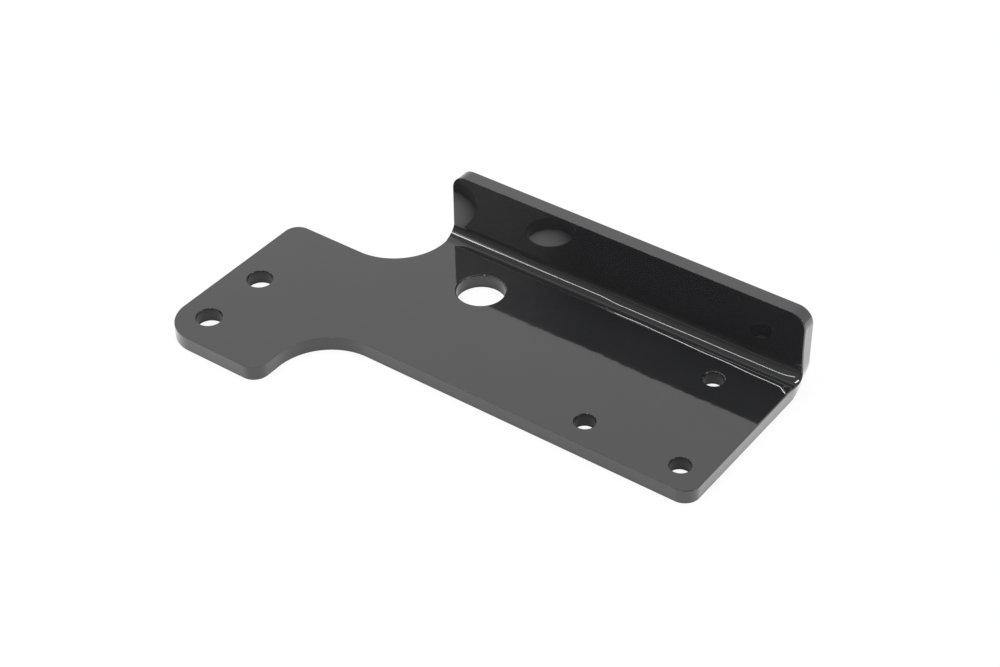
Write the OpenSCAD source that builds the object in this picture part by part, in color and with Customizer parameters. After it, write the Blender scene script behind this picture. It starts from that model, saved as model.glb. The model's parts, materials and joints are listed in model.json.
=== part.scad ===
// Muffler mounting bracket: one steel plate, cut to a stepped outline and folded once.
// The arm with two holes stands at the left, the folded flange runs along the back,
// and three small holes sit at the right. All sizes are in millimetres.
// The origin is on the underside, at the centre of the large hole.
// X runs along the plate to the right, Y towards the flange and Z up.

/* [Plate] */
// Thickness of the steel
plate_t = 6; // [3:0.5:8]
// Large hole centre to the right end
body_right = 130.6; // [100:0.2:180]
// Large hole centre to the long front edge
body_front = 53; // [40:0.5:80]
// Radius of the corner at the right front
body_corner_r = 6.4; // [2:0.2:9]

/* [Arm] */
// Large hole centre to the left edge of the arm
arm_left = 89.4; // [82:0.2:120]
// Width of the arm along X
arm_w = 50; // [36:0.5:54]
// How far the arm stands out in front of the long front edge
arm_reach = 36.7; // [32:0.1:60]
// Radius of the large corner at the left front
arm_front_corner_r = 15; // [4:0.5:22]
// Radius of the small corners of the arm
arm_corner_r = 6.4; // [2:0.2:9]

/* [Inside corners] */
// Radius of the two hollow corners where the arm meets the body
relief_r = 23.7; // [12:0.1:26]
// Flat that is left between the back hollow corner and the fold
relief_to_bend = 1.7; // [0.5:0.1:6]

/* [Flange] */
// Large hole centre to the outer face of the flange
flange_back = 30; // [26:0.5:50]
// Large hole centre to the left end of the flange
flange_left = 31.2; // [20:0.2:34]
// Height of the flange above the underside
flange_h = 35.7; // [24:0.1:70]
// Inside radius of the fold
bend_r = 6; // [2:0.5:8]
// Radius of the two upper corners of the flange
flange_corner_r = 6.4; // [2:0.2:9]

/* [Holes] */
// Diameter of the large hole
large_hole_d = 19.7; // [10:0.1:30]
// Diameter of the two holes in the arm
arm_hole_d = 10.7; // [6:0.1:14]
// Spacing of the two holes in the arm
arm_hole_pitch = 30; // [20:0.5:42]
// Arm hole centres to the left edge of the arm
arm_hole_side = 13; // [9:0.2:20]
// Nearer arm hole centre to the front edge of the arm
arm_hole_front = 15; // [10:0.2:22]
// Diameter of the three small holes in the body
body_hole_d = 8.4; // [5:0.1:12]
// Spacing of the two small holes along the front edge
front_hole_pitch = 41.2; // [20:0.2:70]
// Front hole centres to the long front edge
front_hole_side = 11.7; // [9:0.1:20]
// Outer front hole centre to the right end
front_hole_end = 11.6; // [9:0.1:24]
// Back hole centre to the right end
back_hole_end = 27.1; // [9:0.1:60]
// Back hole centre to the outer face of the flange
back_hole_side = 23.6; // [22.5:0.1:40]

/* [Hidden] */
$fn = 96;
// Overshoot of a cut past the surface that it leaves
cut = 2;
// Edges of the outline, measured from the large hole
front_y = -body_front;
arm_front_y = front_y - arm_reach;
arm_left_x = -arm_left;
arm_right_x = arm_left_x + arm_w;
// The fold starts here on the plate and ends here on the flange
bend_y = flange_back - plate_t - bend_r;
bend_top_z = plate_t + bend_r;
// The arm's back edge follows from the hollow corner that ends beside the fold
arm_back_y = bend_y - relief_to_bend - relief_r;
flange_len = body_right + flange_left;

// The web between a square corner at the origin and a circle that touches both its sides.
// Cut from an outer corner it leaves the corner round, and added in a hollow corner it fills it.
module corner_web(r) {
    difference() {
        translate([-cut, -cut]) square(r + cut);
        translate([r, r]) circle(r);
    }
}

// The arm at the left, from its front edge to its back edge
module arm_area() {
    difference() {
        translate([arm_left_x, arm_front_y]) square([arm_w, arm_back_y - arm_front_y]);
        translate([arm_left_x, arm_front_y]) corner_web(arm_front_corner_r);
        translate([arm_right_x, arm_front_y]) mirror([1, 0]) corner_web(arm_corner_r);
        translate([arm_left_x, arm_back_y]) mirror([0, 1]) corner_web(arm_corner_r);
    }
}

// The body, from the long front edge to the start of the fold
module body_area() {
    difference() {
        translate([-flange_left, front_y]) square([flange_len, bend_y - front_y]);
        translate([body_right, front_y]) mirror([1, 0]) corner_web(body_corner_r);
    }
}

// The neck between the arm and the body, with a hollow corner at its front and at its back
module neck_area() {
    translate([arm_right_x - cut, front_y])
        square([2 * cut - flange_left - arm_right_x, arm_back_y - front_y]);
    translate([arm_right_x, front_y]) mirror([0, 1]) corner_web(relief_r);
    translate([-flange_left, arm_back_y]) mirror([1, 0]) corner_web(relief_r);
}

module plate() {
    linear_extrude(plate_t) {
        arm_area();
        body_area();
        neck_area();
    }
}

// A quarter of a tube along X, from the plate up to the flange
module fold() {
    translate([-flange_left, bend_y, bend_top_z])
        rotate([90, 0, 90])
            rotate([0, 0, -90])
                rotate_extrude(angle = 90)
                    translate([bend_r, 0]) square([plate_t, flange_len]);
}

// The upright flange above the fold, drawn from its left end and its lower edge
module flange() {
    upright = flange_h - bend_top_z;
    translate([-flange_left, flange_back, bend_top_z])
        rotate([90, 0, 0])
            linear_extrude(plate_t)
                difference() {
                    square([flange_len, upright]);
                    translate([0, upright]) mirror([0, 1]) corner_web(flange_corner_r);
                    translate([flange_len, upright]) rotate(180) corner_web(flange_corner_r);
                }
}

module hole(x, y, d) {
    translate([x, y, -cut]) cylinder(d = d, h = plate_t + 2 * cut);
}

module holes() {
    hole(0, 0, large_hole_d);
    for (i = [0, 1])
        hole(arm_left_x + arm_hole_side, arm_front_y + arm_hole_front + i * arm_hole_pitch, arm_hole_d);
    for (i = [0, 1])
        hole(body_right - front_hole_end - i * front_hole_pitch, front_y + front_hole_side, body_hole_d);
    hole(body_right - back_hole_end, flange_back - back_hole_side, body_hole_d);
}

module bracket() {
    color([0.09, 0.09, 0.1])
        difference() {
            union() {
                plate();
                fold();
                flange();
            }
            holes();
        }
}

bracket();
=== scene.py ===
# The muffler mounting bracket in its black gloss paint: one steel plate, folded once.
# The plate is drawn flat, as a blank with rounded edges, and then folded as the real one is.
# On the blank x runs along the plate, s runs across it and up the flange, and w is the height
# above the underside. Sizes are in millimetres, and the finished mesh is in metres.
import json
import math

import bpy
from mathutils import Matrix, Quaternion, Vector, geometry


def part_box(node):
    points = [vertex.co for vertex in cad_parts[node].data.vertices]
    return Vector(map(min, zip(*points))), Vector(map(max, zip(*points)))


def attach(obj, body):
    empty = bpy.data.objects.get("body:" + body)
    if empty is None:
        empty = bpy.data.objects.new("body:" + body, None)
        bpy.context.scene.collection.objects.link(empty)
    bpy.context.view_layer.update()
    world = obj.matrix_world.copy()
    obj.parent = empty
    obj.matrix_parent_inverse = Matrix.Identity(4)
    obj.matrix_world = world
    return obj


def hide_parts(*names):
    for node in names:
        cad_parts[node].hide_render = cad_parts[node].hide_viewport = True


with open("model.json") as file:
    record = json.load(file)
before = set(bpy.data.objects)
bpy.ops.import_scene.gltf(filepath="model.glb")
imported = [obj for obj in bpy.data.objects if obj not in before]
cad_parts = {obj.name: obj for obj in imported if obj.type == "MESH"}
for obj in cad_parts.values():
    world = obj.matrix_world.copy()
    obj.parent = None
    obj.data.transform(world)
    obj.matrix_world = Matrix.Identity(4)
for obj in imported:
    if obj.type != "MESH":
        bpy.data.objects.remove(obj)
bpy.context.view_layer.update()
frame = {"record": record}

MM = 0.001
TINY = 1e-6
QUARTER = math.pi / 2
# The kind of triangulation that fills only the inside of the borders
ONLY_INSIDE = 1

# Read from the frame
mounts = {m["name"]: m for m in frame["record"]["mounts"]}
plate_t = mounts["large_hole"]["dims"]["length_mm"]
low, high = (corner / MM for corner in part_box("bracket"))
arm_left_x, arm_front_y = low.x, low.y
right_x, back_y, flange_h = high.x, high.y, high.z

# Sizes of the outline and of the fold
arm_w = 50.0
arm_reach = 36.7
flange_left_x = -31.2
relief_r = 23.7
relief_to_bend = 1.7
bend_r = 6.0
corner_r = 6.4
arm_front_corner_r = 15.0
arm_right_x = arm_left_x + arm_w
front_y = arm_front_y + arm_reach
bend_y = back_y - plate_t - bend_r
arm_back_y = bend_y - relief_to_bend - relief_r

# The fold on the blank, measured along its inner face
bend_len = bend_r * math.pi / 2
flange_s = bend_y + bend_len
top_s = flange_s + flange_h - plate_t - bend_r

# Rounding of the cut edges: crisp in front, softer at the back and softest at the right.
# The strip beside an edge is rim_w wide, and edge_flat keeps the shading of the faces true.
edge_r = 0.07
back_edge_r = 0.3
right_edge_r = 0.5
flange_edge_r = 0.16
hole_edge_r = 0.42
lower_edge_r = 0.12
edge_steps = 5
edge_flat = 0.06
rim_w = 0.85

# Fineness of the mesh: largest angle in an arc, places along a straight edge and how close the
# first one is to its end, and in the flat areas the size of the triangles, where their first
# column starts and how near they come to a border, both in triangles
arc_step = math.radians(3.75)
line_step = 7.0
line_end = 0.6
fill_size = 8.0
fill_start = 0.3
fill_gap = 0.55

# The press tool left a small step where the fold starts, right of step_start_x. It begins
# step_offset beyond the start of the fold, and to the right it drifts towards the front and
# wobbles a little, each wobble as (height, length, shift). Right of step_hook_x it hooks away
# towards the front. step_front and hook_front are half the widths of its slope.
step_start_x = 46.4
step_onset = (-0.4, 1.2)
step_approach = 12.0
step_offset = 0.62
step_drift = 0.0255
step_wobbles = [(0.09, 3.1, 0.0), (0.07, 5.3, 1.0)]
wobble_onset = 6.0
step_slope = math.radians(43.7)
hook_slope = math.radians(49.1)
step_front = 0.1
hook_front = 0.14
step_back = 0.9
step_hook_x = 126.0
step_hook_slope = 0.6

# The fold starts with a slight crease, and is a little tighter where the tool pressed.
crease_slope = math.tan(math.radians(5.5))
crease_reach = 2.6
left_press, right_press = -0.035, 0.052

# At the two ends of the fold its inner side swells out, and its outer side draws in by
# outer_swell of that, over a stretch that is given in lengths of the fold. The cut edge there
# also leans by edge_swell, over a longer stretch. swell_reach is how far it all goes along x.
right_swell, left_swell = 0.85, 0.3
outer_swell = 0.6
swell_stretch = (-0.1, 1.05)
edge_swell = 0.2
lean_stretch = (-0.3, 1.8)
swell_reach = 4.5

# Towards its left end the fold is a little flat in two places, each as (turn of the fold, width,
# height, reach along the fold). At its right end it opens up: right_open says the same of that,
# but flange_width is its width on the flange's side, where it fades. The end rolls off softly.
left_flats = [(20.0, 0.8, 0.18, 12.0), (46.0, 0.65, 0.052, 38.0)]
right_open = (65.0, 1.5, -0.5, 8.0)
flange_width = 6.0
open_fade = (6.0, 16.0)
roll_off_w = 2.8
roll_off = 0.39

# Only between these two lines does the blank differ from a plain fold
marks_start_s = bend_y - 8.0
marks_end_s = flange_s + 17.0

# Rows of the mesh across the fold: those at the tool's step, measured from its line, then a fan
# up to the first row that runs straight, even ones over the fold, and those on the flange
STEP_ROWS = [-1.6, -1.2, -0.8, -0.45, -0.25, -0.14, -0.1, -0.06, 0.0, 0.06, 0.1, 0.14, 0.25, 0.45]
FAN_ROWS = 10
FIRST_STRAIGHT = bend_y + 2.0
BEND_ROWS = 22
FLANGE_ROWS = [0.05, 0.3, 1.2, 2.4, 4.0, 6.0, 8.5, 12.0, 16.0]

# Columns of the mesh along the fold: those near its ends, and the step between the others
END_COLUMNS = [0.0, 0.3, 0.6, 0.9, 1.3, 1.8, 2.7, 3.8, 5.2, 7.0]
COLUMN_STEP = 2.6

# The floor, in metres: it lies a hair under the bracket
floor_radius = 3.0
floor_sides = 64
floor_drop = 0.00005

# How bright the mirrored floor is from far in front to the back, as (place, share)
FRONT_STOPS = [(0.05, 0.35), (0.5, 1.0), (0.575, 1.0), (0.675, 0.885)]

# The strip lamp's middle lies to the left of the point that it is turned to, in metres. The
# narrow lamp over the right end is turned on its axis.
strip_shift = 1.02
glint_turn = math.radians(24.8)

# Camera
camera_at = Vector((407.587, -537.405, 523.993)) * MM
camera_aim = Vector((17.767, -11.712, 0.0)) * MM
camera_roll = math.radians(-0.849)
camera_lens = 77.56
camera_sensor = 36.0
camera_clip = (0.01, 20.0)


def clamp(value):
    """The value, kept between 0 and 1."""
    return min(1.0, max(0.0, value))


def smooth(value, start, end):
    """0 before start, 1 after end, and a smooth rise between them."""
    t = clamp((value - start) / (end - start))
    return t * t * (3 - 2 * t)


def bump(distance, width):
    """A soft bump, 1 high in its middle."""
    return math.exp(-(distance / width) ** 2 / 2)


def circle_points(cx, cs, r, start, end):
    """Points of an arc, with an angle of at most arc_step between them."""
    count = max(2, math.ceil(abs(end - start) / arc_step - TINY))
    angles = [start + (end - start) * i / count for i in range(count + 1)]
    return [(cx + r * math.cos(a), cs + r * math.sin(a)) for a in angles]


def hole_ring(x, y, r):
    """The closed ring of a hole."""
    return circle_points(x, y, r, 0, 2 * math.pi)[:-1]


def step_line(x):
    """Where the tool's step runs, across the blank: nearly straight, with a hook at the right end."""
    x = min(x, right_x - rim_w)
    wobble = sum(height * math.sin(x / length + shift) for height, length, shift in step_wobbles)
    line = bend_y + step_offset * smooth(x, step_start_x - step_approach, step_start_x)
    line -= step_drift * max(0.0, x - step_start_x)
    hook = step_hook_slope * max(0.0, x - step_hook_x)
    return line + wobble * smooth(x, step_start_x, step_start_x + wobble_onset) - hook


def fold_rows(x):
    """The rows of the mesh across the fold at x, from the plate to the flange."""
    line = step_line(x)
    rows = [line + u for u in STEP_ROWS]
    rows += [rows[-1] + (FIRST_STRAIGHT - rows[-1]) * i / FAN_ROWS for i in range(1, FAN_ROWS)]
    straight_len = flange_s - FIRST_STRAIGHT
    rows += [FIRST_STRAIGHT + straight_len * i / BEND_ROWS for i in range(BEND_ROWS + 1)]
    # The end of the fold has a close row at both its sides
    rows.insert(-1, flange_s - FLANGE_ROWS[0])
    return rows + [flange_s + d for d in FLANGE_ROWS]


def fold_columns():
    """Places along the fold: close together at its two ends, where it swells."""
    left, right = flange_left_x + rim_w, right_x - rim_w
    start, end = left + END_COLUMNS[-1], right - END_COLUMNS[-1]
    count = round((end - start) / COLUMN_STEP)
    middle = [start + (end - start) * i / count for i in range(1, count)]
    return [left + d for d in END_COLUMNS] + middle + [right - d for d in reversed(END_COLUMNS)]


def fold_grid():
    """The mesh over the fold, as columns of places from the plate to the flange. The first and
    the last column have the rows of the cut edge beside them."""
    columns = fold_columns()
    ends = {columns[0]: flange_left_x, columns[-1]: right_x}
    return [[(x, s) for s in fold_rows(ends.get(x, x))] for x in columns]


def line_stops(start, end):
    """Places between two ends of a straight edge: one close to each end, and others evenly."""
    way = 1 if end > start else -1
    length = abs(end - start)
    # Too short for places of its own
    if length <= 2.5 * line_end:
        return []
    count = max(1, round((length - 2 * line_end) / line_step))
    inner = [line_end + (length - 2 * line_end) * i / count for i in range(count + 1)]
    return [start + way * d for d in inner]


def side_stops(rows, start, end):
    """Stops along a side of the blank from start to end: the fold's rows and some beyond them."""
    return line_stops(start, rows[0]) + rows + line_stops(rows[-1], end)


def corner_arcs(inset):
    """The rounded corners of the blank, counter-clockwise from the right front."""
    hollow_back = (flange_left_x - relief_r, bend_y - relief_to_bend)
    hollow_front = (arm_right_x + relief_r, front_y - relief_r)
    arm_r = arm_front_corner_r
    # Each corner: centre, radius, first and last angle in quarter turns; hollow ones turn back
    corners = [
        (right_x - corner_r, front_y + corner_r, corner_r, -1, 0),
        (right_x - corner_r, top_s - corner_r, corner_r, 0, 1),
        (flange_left_x + corner_r, top_s - corner_r, corner_r, 1, 2),
        (*hollow_back, relief_r, 0, -1),
        (arm_left_x + corner_r, arm_back_y - corner_r, corner_r, 1, 2),
        (arm_left_x + arm_r, arm_front_y + arm_r, arm_r, 2, 3),
        (arm_right_x - corner_r, arm_front_y + corner_r, corner_r, 3, 4),
        (*hollow_front, relief_r, 2, 1),
    ]
    arcs = []
    for cx, cs, r, first, last in corners:
        radius = r - inset if last > first else r + inset
        arcs.append(circle_points(cx, cs, radius, first * QUARTER, last * QUARTER))
    return arcs


def outline(inset):
    """The edge of the blank, counter-clockwise, drawn inset millimetres inside the true one."""
    # The two sides that cross the fold, by the number of the corner before them
    crossing = {0: fold_rows(right_x), 2: fold_rows(flange_left_x)[::-1]}
    arcs = corner_arcs(inset)
    points = []
    for i, arc in enumerate(arcs):
        points += arc
        x, s = arc[-1]
        next_x, next_s = arcs[(i + 1) % len(arcs)][0]
        if i in crossing:
            points += [(x, stop) for stop in side_stops(crossing[i], s, next_s)]
        elif abs(next_x - x) > abs(next_s - s):
            points += [(stop, s) for stop in line_stops(x, next_x)]
        else:
            points += [(x, stop) for stop in line_stops(s, next_s)]
    return points


def hole_list():
    """Centre and radius of each hole, from the mounts of the frame."""
    holes = []
    for name in ("large_hole", "arm_holes", "front_holes", "back_hole"):
        mount = mounts[name]
        dims = mount["dims"]
        x, y = (value / MM for value in mount["pos_m"][:2])
        r = dims.get("r_mm") or dims.get("hole_r_mm")
        dx = dims.get("spacing_x_mm", 0) / 2
        dy = dims.get("spacing_y_mm", 0) / 2
        sides = (-1, 1) if dims.get("count", 1) == 2 else (0,)
        holes += [(x + side * dx, y + side * dy, r) for side in sides]
    return holes


def edge_radius(x, s, nx, ns):
    """The rounding of the upper edge at a place where the outline faces (nx, ns)."""
    away = flange_edge_r if s > flange_s else back_edge_r
    r = edge_r + (away - edge_r) * max(0.0, ns, -nx)
    if x < 0:
        return r
    return r + (right_edge_r - edge_r) * max(0.0, nx)


class Blank:
    """Collects the faces of the flat blank. Points at the same place are one vertex."""

    def __init__(self):
        self.index = {}
        self.points = []
        self.faces = []

    def vertex(self, x, s, w):
        """The number of the vertex at a place, to a ten-thousandth of a millimetre."""
        key = (round(x, 4), round(s, 4), round(w, 4))
        if key not in self.index:
            self.index[key] = len(self.points)
            self.points.append((x, s, w))
        return self.index[key]

    def face(self, *corners):
        """One face, unless its corners fall together."""
        ring = []
        for corner in corners:
            v = self.vertex(*corner)
            if v not in ring:
                ring.append(v)
        if len(ring) > 2:
            self.faces.append(ring)

    def both_sides(self, corners):
        """One face on the top and the same face on the underside."""
        self.face(*[(x, s, plate_t) for x, s in corners])
        self.face(*[(x, s, 0.0) for x, s in reversed(corners)])

    def rim(self, edge, inward, upper_r, lower_r):
        """A rounded cut edge. inward points into the metal at each point of the closed edge."""
        places = list(zip(edge, inward, upper_r))
        rounding = [i * QUARTER / edge_steps for i in range(edge_steps + 1)]

        def ring(inset_and_drop, lower):
            points = []
            for (x, s), (dx, ds), r in places:
                inset, drop = inset_and_drop(lower_r if lower else r)
                points.append((x + dx * inset, s + ds * inset, drop if lower else plate_t - drop))
            return points

        # Each step of the rounding: how far in from the edge and how far down from the face
        steps = [lambda r: (rim_w, 0.0), lambda r: (r + edge_flat, 0.0)]
        steps += [lambda r, a=a: (r * (1 - math.sin(a)), r * (1 - math.cos(a))) for a in rounding]
        steps += [lambda r: (0.0, r + edge_flat)]
        rings = [ring(step, False) for step in steps] + [ring(step, True) for step in reversed(steps)]
        for upper, below in zip(rings, rings[1:]):
            for i in range(len(edge)):
                j = (i + 1) % len(edge)
                self.face(upper[i], below[i], below[j], upper[j])


def inside(point, loop):
    """Whether a point lies inside a closed loop."""
    x, s = point
    hit = False
    for (xa, sa), (xb, sb) in zip(loop, loop[1:] + loop[:1]):
        if (sa > s) != (sb > s) and x < xa + (s - sa) * (xb - xa) / (sb - sa):
            hit = not hit
    return hit


def on_metal(point, loop, holes):
    """Whether a point lies inside a loop and outside its holes."""
    return inside(point, loop) and not any(inside(point, hole) for hole in holes)


def inner_points(loop, holes):
    """Even points inside a loop and outside its holes, with a gap to their borders."""
    borders = [Vector(p) for ring in [loop] + holes for p in ring]
    left, right = min(x for x, s in loop), max(x for x, s in loop)
    bottom, top = min(s for x, s in loop), max(s for x, s in loop)
    rows = int((top - bottom) / fill_size) + 1
    columns = int((right - left) / fill_size) + 1
    found = []
    for i in range(rows):
        shift = 0.5 * (i % 2)
        for j in range(columns):
            p = (left + (j + fill_start + shift) * fill_size, bottom + (i + 0.5) * fill_size)
            gap = min((Vector(p) - q).length for q in borders)
            if gap > fill_gap * fill_size and on_metal(p, loop, holes):
                found.append(p)
    return found


def fill(blank, loop, holes):
    """Fills a flat area of the blank with even triangles, on both sides."""
    points, edges = [], []
    for ring in [loop] + holes:
        first = len(points)
        edges += [(first + i, first + (i + 1) % len(ring)) for i in range(len(ring))]
        points += ring
    points += inner_points(loop, holes)
    made = geometry.delaunay_2d_cdt([Vector(p) for p in points], edges, [], ONLY_INSIDE, TINY)
    places, _, faces = made[:3]
    for face in faces:
        corners = [tuple(places[i]) for i in face]
        middle = (sum(x for x, s in corners) / 3, sum(s for x, s in corners) / 3)
        if on_metal(middle, loop, holes):
            blank.both_sides(corners)


def flat_loops(edge, grid):
    """The borders of the flat plate and of the flat flange: the blank's edge and the fold's grid."""
    first_row = [column[0] for column in grid]
    last_row = [column[-1] for column in grid]
    start = next(i for i, (x, s) in enumerate(edge) if s > last_row[-1][1] + TINY)
    edge = edge[start:] + edge[:start]
    above = [(x, s) for x, s in edge if s > last_row[0][1] + TINY]
    below = [(x, s) for x, s in edge if s < first_row[-1 if x > 0 else 0][1] - TINY]
    return first_row[::-1] + below, last_row + above


def draw_blank():
    """The whole blank: its edge, the holes, the fold's grid and the flat areas at both its sides."""
    blank = Blank()
    edge = outline(0.0)
    inward = [(xb - xa, sb - sa) for (xa, sa), (xb, sb) in zip(edge, outline(1.0))]
    radii = [edge_radius(x, s, -dx, -ds) for (x, s), (dx, ds) in zip(edge, inward)]
    blank.rim(edge, inward, radii, lower_edge_r)
    hole_loops = []
    for x, y, r in hole_list():
        edge = hole_ring(x, y, r)[::-1]
        away = [((px - x) / r, (py - y) / r) for px, py in edge]
        blank.rim(edge, away, [hole_edge_r] * len(edge), lower_edge_r)
        hole_loops.append(hole_ring(x, y, r + rim_w))

    grid = fold_grid()
    for a, b in zip(grid, grid[1:]):
        for i in range(len(a) - 1):
            blank.both_sides([a[i], b[i], b[i + 1], a[i + 1]])

    plate_loop, flange_loop = flat_loops(outline(rim_w), grid)
    fill(blank, plate_loop, hole_loops)
    fill(blank, flange_loop, [])
    return blank


def fold_angle(s):
    """How far the plate has turned up at a place across the blank."""
    return min(QUARTER, max(0.0, (s - bend_y) / bend_r))


def round_fold(s, turn):
    """How far a place lies beyond the line where the plate has turned up by so many degrees."""
    return s - bend_y - bend_r * math.radians(turn)


def fold_share(s, start, end):
    """Rises from 0 at start to 1 and falls to 0 at end, both in lengths of the fold."""
    mid = (s - bend_y) / bend_len
    if not start < mid < end:
        return 0.0
    return math.sin(math.pi * (mid - start) / (end - start)) ** 2


def step_height(x, line, front):
    """How high the tool's step is: front is half the width of its slope."""
    if x > step_hook_x:
        return 2 * front * math.tan(hook_slope) * math.cos(math.atan(step_hook_slope))
    return 2 * front * math.tan(step_slope - fold_angle(line))


def tool_mark(x, s):
    """How far the press tool raised or sank the inner face of the fold at a place of the blank."""
    line = step_line(x)
    u = s - line
    on = smooth(x, step_start_x + step_onset[0], step_start_x + step_onset[1])
    front = hook_front if x > step_hook_x else step_front
    rise = clamp((u + front) / (2 * front))
    step = step_height(x, line, front) * rise * (1 - smooth(u, front, front + step_back))
    # One half of the fold is pressed in and the other out; 16 makes its squared hump 1 high
    mid = clamp((s - bend_y) / bend_len)
    press = left_press + (right_press - left_press) * on
    pressed = 16 * press * bend_len * (mid * (1 - mid)) ** 2 * (mid - 0.5)
    way = clamp((u - on * front) / crease_reach)
    crease = crease_slope * crease_reach * way * (1 - way) ** 2
    return on * step + pressed + crease


def end_waves(x, s):
    """How the inner face of the fold rises and sinks towards its two ends."""
    height = 0.0
    for turn, width, rise, reach in left_flats:
        height += rise * bump(round_fold(s, turn), width) * (1 - smooth(x - flange_left_x, 0, reach))
    turn, width, rise, reach = right_open
    away = round_fold(s, turn)
    opened = bump(away, width if away < 0 else flange_width) * (1 - smooth(right_x - x, 0, reach))
    height += rise * opened * (1 - smooth(s, flange_s + open_fade[0], flange_s + open_fade[1]))
    near = max(0.0, 1 - (right_x - x) / roll_off_w)
    return height - roll_off * near ** 2 * fold_share(s, *swell_stretch)


def end_swell(x, s, w):
    """How far the metal of the fold swells out along x at the two ends: inner side out, outer in."""
    depth = (w - plate_t / 2) / (plate_t / 2)
    right = right_swell * math.exp(-(right_x - x) / swell_reach)
    left = left_swell * math.exp(-(x - flange_left_x) / swell_reach)
    bulge = fold_share(s, *swell_stretch) * (depth if depth > 0 else outer_swell * depth)
    lean = edge_swell * fold_share(s, *lean_stretch) * (1 + depth) / 2
    return (bulge + lean) * (right - left)


def folded(x, s, w):
    """A point of the blank on the folded plate, in metres."""
    if marks_start_s < s < marks_end_s:
        swollen = end_swell(x, s, w)
        if w > plate_t / 2:
            w += tool_mark(x, s) + end_waves(x, s)
        x += swollen
    angle = fold_angle(s)
    r = bend_r + plate_t - w
    y = bend_y + r * math.sin(angle)
    z = bend_r + plate_t - r * math.cos(angle)
    if s < bend_y:
        y = s
    if s > flange_s:
        z += s - flange_s
    return x * MM, y * MM, z * MM


def make_bracket(material):
    """The folded plate as one mesh, in place of the plain solid."""
    blank = draw_blank()
    mesh = bpy.data.meshes.new("folded_plate")
    mesh.from_pydata([folded(*p) for p in blank.points], [], blank.faces)
    mesh.validate()
    mesh.polygons.foreach_set("use_smooth", [True] * len(mesh.polygons))
    mesh.materials.append(material)
    mesh.update()
    piece = bpy.data.objects.new("folded_plate", mesh)
    bpy.context.scene.collection.objects.link(piece)
    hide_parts("bracket")
    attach(piece, "root")


def new_tree(owner):
    """The empty node tree of a material or of a world."""
    owner.use_nodes = True
    owner.node_tree.nodes.clear()
    return owner.node_tree


def add_node(tree, kind, inputs=(), operation=None):
    """Adds a shader node. Each input is a constant or the output socket of another node."""
    node = tree.nodes.new("ShaderNode" + kind)
    if operation:
        node.operation = operation
    for socket, value in dict(inputs).items():
        if isinstance(value, bpy.types.NodeSocket):
            tree.links.new(value, node.inputs[socket])
        else:
            node.inputs[socket].default_value = value
    return node


def add_math(tree, operation, *values):
    """The result of a calculation with numbers."""
    return add_node(tree, "Math", enumerate(values), operation).outputs["Value"]


def add_dot(tree, place, direction):
    """How far a place lies in a direction."""
    return add_node(tree, "VectorMath", {0: place, 1: direction}, "DOT_PRODUCT").outputs["Value"]


def add_range(tree, value, source, target, soft=False):
    """A value mapped from one range to another and kept inside it. The ends of it can be soft."""
    inputs = {"Value": value, "From Min": source[0], "From Max": source[1]}
    node = add_node(tree, "MapRange", inputs | {"To Min": target[0], "To Max": target[1]})
    if soft:
        node.interpolation_type = "SMOOTHSTEP"
    return node.outputs["Result"]


def add_ramp(tree, value, stops):
    """A colour that follows a value, from stops of (value, red, green, blue)."""
    node = add_node(tree, "ValToRGB", {"Fac": value})
    elements = node.color_ramp.elements
    for position, *colour in stops[1:-1]:
        elements.new(position)
    for element, (position, *colour) in zip(elements, stops):
        element.position = position
        element.color = (*colour, 1)
    return node.outputs["Color"]


def add_noise(tree, place, scale, detail):
    """Even noise over the surface."""
    return add_node(tree, "TexNoise", {"Vector": place, "Scale": scale, "Detail": detail}).outputs["Fac"]


def add_waves(tree, noise, depth, over=()):
    """The direction of a surface with waves of so many metres, which can lie over other waves."""
    inputs = {"Height": noise, "Strength": 1.0, "Distance": depth}
    return add_node(tree, "Bump", inputs | dict(over)).outputs["Normal"]


def add_mix(tree, share, first, second):
    """A mix of two shaders. The share is the second one's."""
    return add_node(tree, "MixShader", {"Fac": share, 1: first, 2: second}).outputs["Shader"]


def seen_directly(tree, rays):
    """1 for what the camera sees itself or through glass, and 0 for all else."""
    return add_math(tree, "MAXIMUM", rays["Is Camera Ray"], rays["Is Transmission Ray"])


def black_paint():
    """Thick black gloss paint with the fine waves of a sprayed coat, over a slightly wavy sheet."""
    material = bpy.data.materials.new("black_gloss_paint")
    tree = new_tree(material)
    place = add_node(tree, "TexCoord").outputs["Object"]
    shade = add_noise(tree, place, scale=45.0, detail=3.0)
    tint = add_ramp(tree, shade, [(0.3, 0.0185, 0.0187, 0.0205), (0.7, 0.0215, 0.0216, 0.0232)])
    sheet = add_waves(tree, add_noise(tree, place, scale=32.0, detail=0.0), depth=0.00012)
    peel = add_noise(tree, place, scale=230.0, detail=2.0)
    surface = add_waves(tree, peel, depth=0.000014, over={"Normal": sheet})
    paint = add_node(tree, "BsdfPrincipled", {
        "Base Color": tint,
        "Roughness": add_range(tree, shade, source=(0.0, 1.0), target=(0.05, 0.09)),
        "IOR": 1.5,
        "Normal": surface,
        "Coat Weight": 0.95,
        "Coat Roughness": 0.03,
        "Coat IOR": 1.5,
        "Coat Normal": surface,
    })
    add_node(tree, "OutputMaterial", {"Surface": paint.outputs["BSDF"]})
    return material


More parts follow.
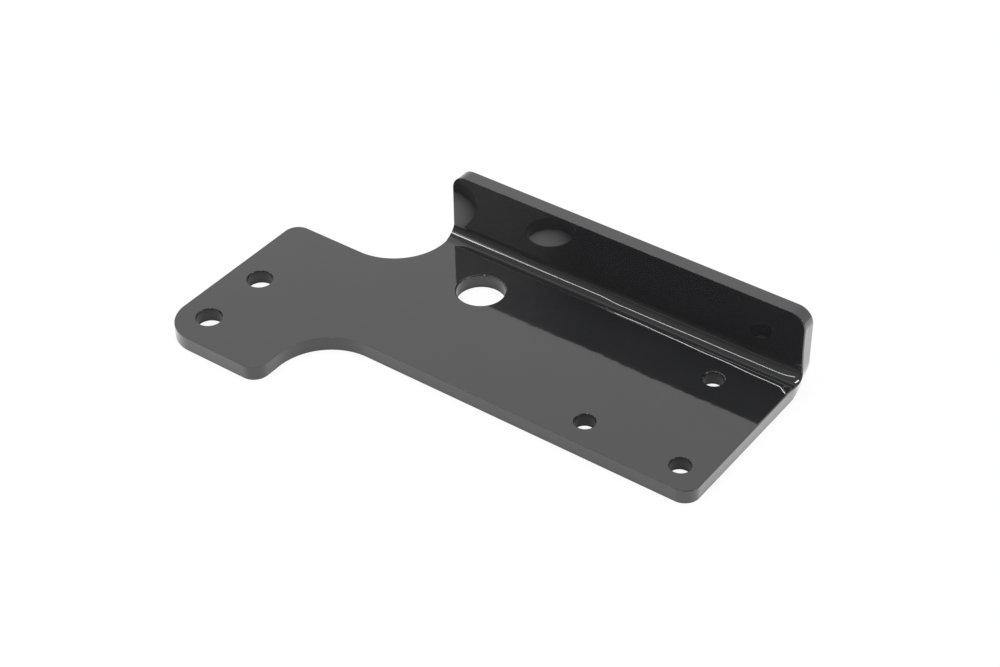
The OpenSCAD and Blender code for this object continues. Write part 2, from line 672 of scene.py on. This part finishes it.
def floor_mirrored(tree):
    """How bright the floor's glow is in the paint, with painted shade and painted light: darker far in
    front and where the bracket covers it from the light, and brighter to the back right."""
    place = add_node(tree, "TexCoord").outputs["Object"]
    light_side = add_node(tree, "CombineXYZ", {"X": 0.45, "Y": -0.45, "Z": 0.77}).outputs["Vector"]
    # Painted shade: the glow dims where the bracket hides the floor from a light at the front right
    open_sky = add_node(tree, "AmbientOcclusion", {"Distance": 0.03, "Normal": light_side})
    open_sky.samples = 16
    painted_cover_shade = add_range(tree, open_sky.outputs["AO"], source=(0.27, 0.82), target=(0.03, 1.0))
    y = add_node(tree, "SeparateXYZ", {"Vector": place}).outputs["Y"]
    depth = add_range(tree, y, source=(-0.2, 0.0), target=(0.0, 1.0))
    in_front = add_ramp(tree, depth, [(stop, share, share, share) for stop, share in FRONT_STOPS])
    # Painted light: the glow is brighter to the back right, as if lit there
    back_right = add_dot(tree, place, (0.9, 0.44, 0.0))
    brighter = add_range(tree, back_right, source=(0.06, 0.16), target=(1.145, 1.81), soft=True)
    return add_math(tree, "MULTIPLY", add_math(tree, "MULTIPLY", painted_cover_shade, in_front), brighter)


def white_floor():
    """White for the camera, with the object's shadow kept, and mostly white in the paint."""
    material = bpy.data.materials.new("white_floor")
    tree = new_tree(material)
    rays = add_node(tree, "LightPath").outputs
    plain = add_node(tree, "BsdfDiffuse", {"Color": (0.95, 0.95, 0.95, 1)}).outputs["BSDF"]
    glow_seen = add_node(tree, "Emission", {"Strength": 1.03}).outputs["Emission"]
    # The floor's glow in the paint carries painted shade and painted light
    glow_mirrored = add_node(tree, "Emission", {"Strength": floor_mirrored(tree)}).outputs["Emission"]
    seen_share = add_math(tree, "MULTIPLY", seen_directly(tree, rays), 0.88)
    mirrored_share = add_math(tree, "MULTIPLY", rays["Is Glossy Ray"], 0.8)
    seen = add_mix(tree, seen_share, plain, glow_seen)
    shown = add_mix(tree, mirrored_share, seen, glow_mirrored)
    add_node(tree, "OutputMaterial", {"Surface": shown})
    return material


def make_floor():
    """A round pale floor that the bracket lies on."""
    angles = [2 * math.pi * i / floor_sides for i in range(floor_sides)]
    rim = [(floor_radius * math.cos(a), floor_radius * math.sin(a), 0.0) for a in angles]
    mesh = bpy.data.meshes.new("floor")
    mesh.from_pydata(rim, [], [list(range(floor_sides))])
    mesh.materials.append(white_floor())
    floor = bpy.data.objects.new("floor", mesh)
    floor.location = (0.0, 0.0, -floor_drop)
    bpy.context.scene.collection.objects.link(floor)


def studio_mirrored(tree):
    """How bright the studio is in the paint: the back is white up to overhead, the front is grey
    and darker towards the floor, and a wide soft lamp glows at the left in front."""
    place = add_node(tree, "TexCoord").outputs["Generated"]
    way = add_node(tree, "SeparateXYZ", {"Vector": place}).outputs
    front = add_range(tree, way["Z"], source=(0.02, 0.36), target=(0.16, 0.36))
    to_back = add_math(tree, "MULTIPLY_ADD", way["Z"], -0.035, way["Y"])
    wall = add_range(tree, to_back, source=(-0.13, 0.13), target=(front, 0.87), soft=True)
    to_lamp = add_dot(tree, place, (-0.526, -0.6185, 0.5836))
    glow = add_range(tree, to_lamp, source=(0.9954, 0.9984), target=(0.0, 1.0), soft=True)
    return add_math(tree, "ADD", wall, glow)


def add_background(tree, strength):
    """A white surrounding of some strength."""
    inputs = {"Color": (1, 1, 1, 1), "Strength": strength}
    return add_node(tree, "Background", inputs).outputs["Background"]


def make_world():
    """The studio: white for the camera, even light for plain shading, and walls in the paint."""
    world = bpy.data.worlds.new("studio")
    bpy.context.scene.world = world
    tree = new_tree(world)
    rays = add_node(tree, "LightPath").outputs
    plain = add_background(tree, 0.5)
    white = add_background(tree, 1.0)
    mirrored = add_background(tree, studio_mirrored(tree))
    lit = add_mix(tree, rays["Is Glossy Ray"], plain, mirrored)
    shown = add_mix(tree, seen_directly(tree, rays), lit, white)
    add_node(tree, "OutputWorld", {"Surface": shown})


def area_lamp(name, aim, towards, distance, size, radiance):
    """A soft rectangular lamp that faces the point aim. Its first side lies along X."""
    lamp = bpy.data.lights.new(name, "AREA")
    lamp.shape = "RECTANGLE"
    lamp.size, lamp.size_y = size
    lamp.energy = radiance * math.pi * lamp.size * lamp.size_y
    thing = bpy.data.objects.new(name, lamp)
    towards = Vector(towards).normalized()
    thing.location = Vector(aim) * MM + towards * distance
    up = towards.cross(Vector((1, 0, 0))).normalized()
    across = up.cross(towards)
    axes = Matrix((across, up, towards)).transposed()
    thing.rotation_mode = "QUATERNION"
    thing.rotation_quaternion = axes.to_quaternion()
    thing.visible_camera = False
    bpy.context.scene.collection.objects.link(thing)
    return thing


def make_lamps():
    """A long strip in front overhead draws the bright line along the fold, a small lamp at the
    right glints on the rounded corners, and a broad one overhead only adds plain light. A narrow
    one over the right end draws the glint where the fold rolls off, and adds no plain light."""
    strip = area_lamp("strip_lamp", aim=(20, 22, 8), towards=(-0.43, -0.58, 0.692),
                      distance=1.2, size=(2.9, 0.085), radiance=10.0)
    strip.location.x -= strip_shift
    area_lamp("side_lamp", aim=(130, 20, 8), towards=(0.86, 0.06, 0.5),
              distance=1.2, size=(0.2, 0.35), radiance=6.0)
    overhead = area_lamp("overhead_lamp", aim=(20, -30, 0), towards=(0.0, 0.1, 1.0),
                         distance=1.5, size=(1.6, 1.6), radiance=1.3)
    overhead.visible_glossy = False
    glint = area_lamp("glint_lamp", aim=(130, 22, 7), towards=(-0.07, -0.358, 0.934),
                      distance=1.2, size=(0.062, 0.4), radiance=16.0)
    glint.rotation_quaternion = glint.rotation_quaternion @ Quaternion((0, 0, 1), glint_turn)
    glint.visible_diffuse = False


def make_camera():
    """The photograph's viewpoint: high, from the front right, with a very slight roll."""
    data = bpy.data.cameras.new("camera")
    data.sensor_width = camera_sensor
    data.lens = camera_lens
    data.clip_start, data.clip_end = camera_clip
    camera = bpy.data.objects.new("camera", data)
    camera.location = camera_at
    camera.rotation_mode = "QUATERNION"
    aim = (camera_aim - camera_at).to_track_quat("-Z", "Y")
    camera.rotation_quaternion = aim @ Quaternion((0, 0, 1), camera_roll)
    bpy.context.scene.collection.objects.link(camera)
    bpy.context.scene.camera = camera


make_camera()
make_world()
make_lamps()
make_floor()
make_bracket(black_paint())
bpy.context.scene.view_settings.view_transform = "Standard"
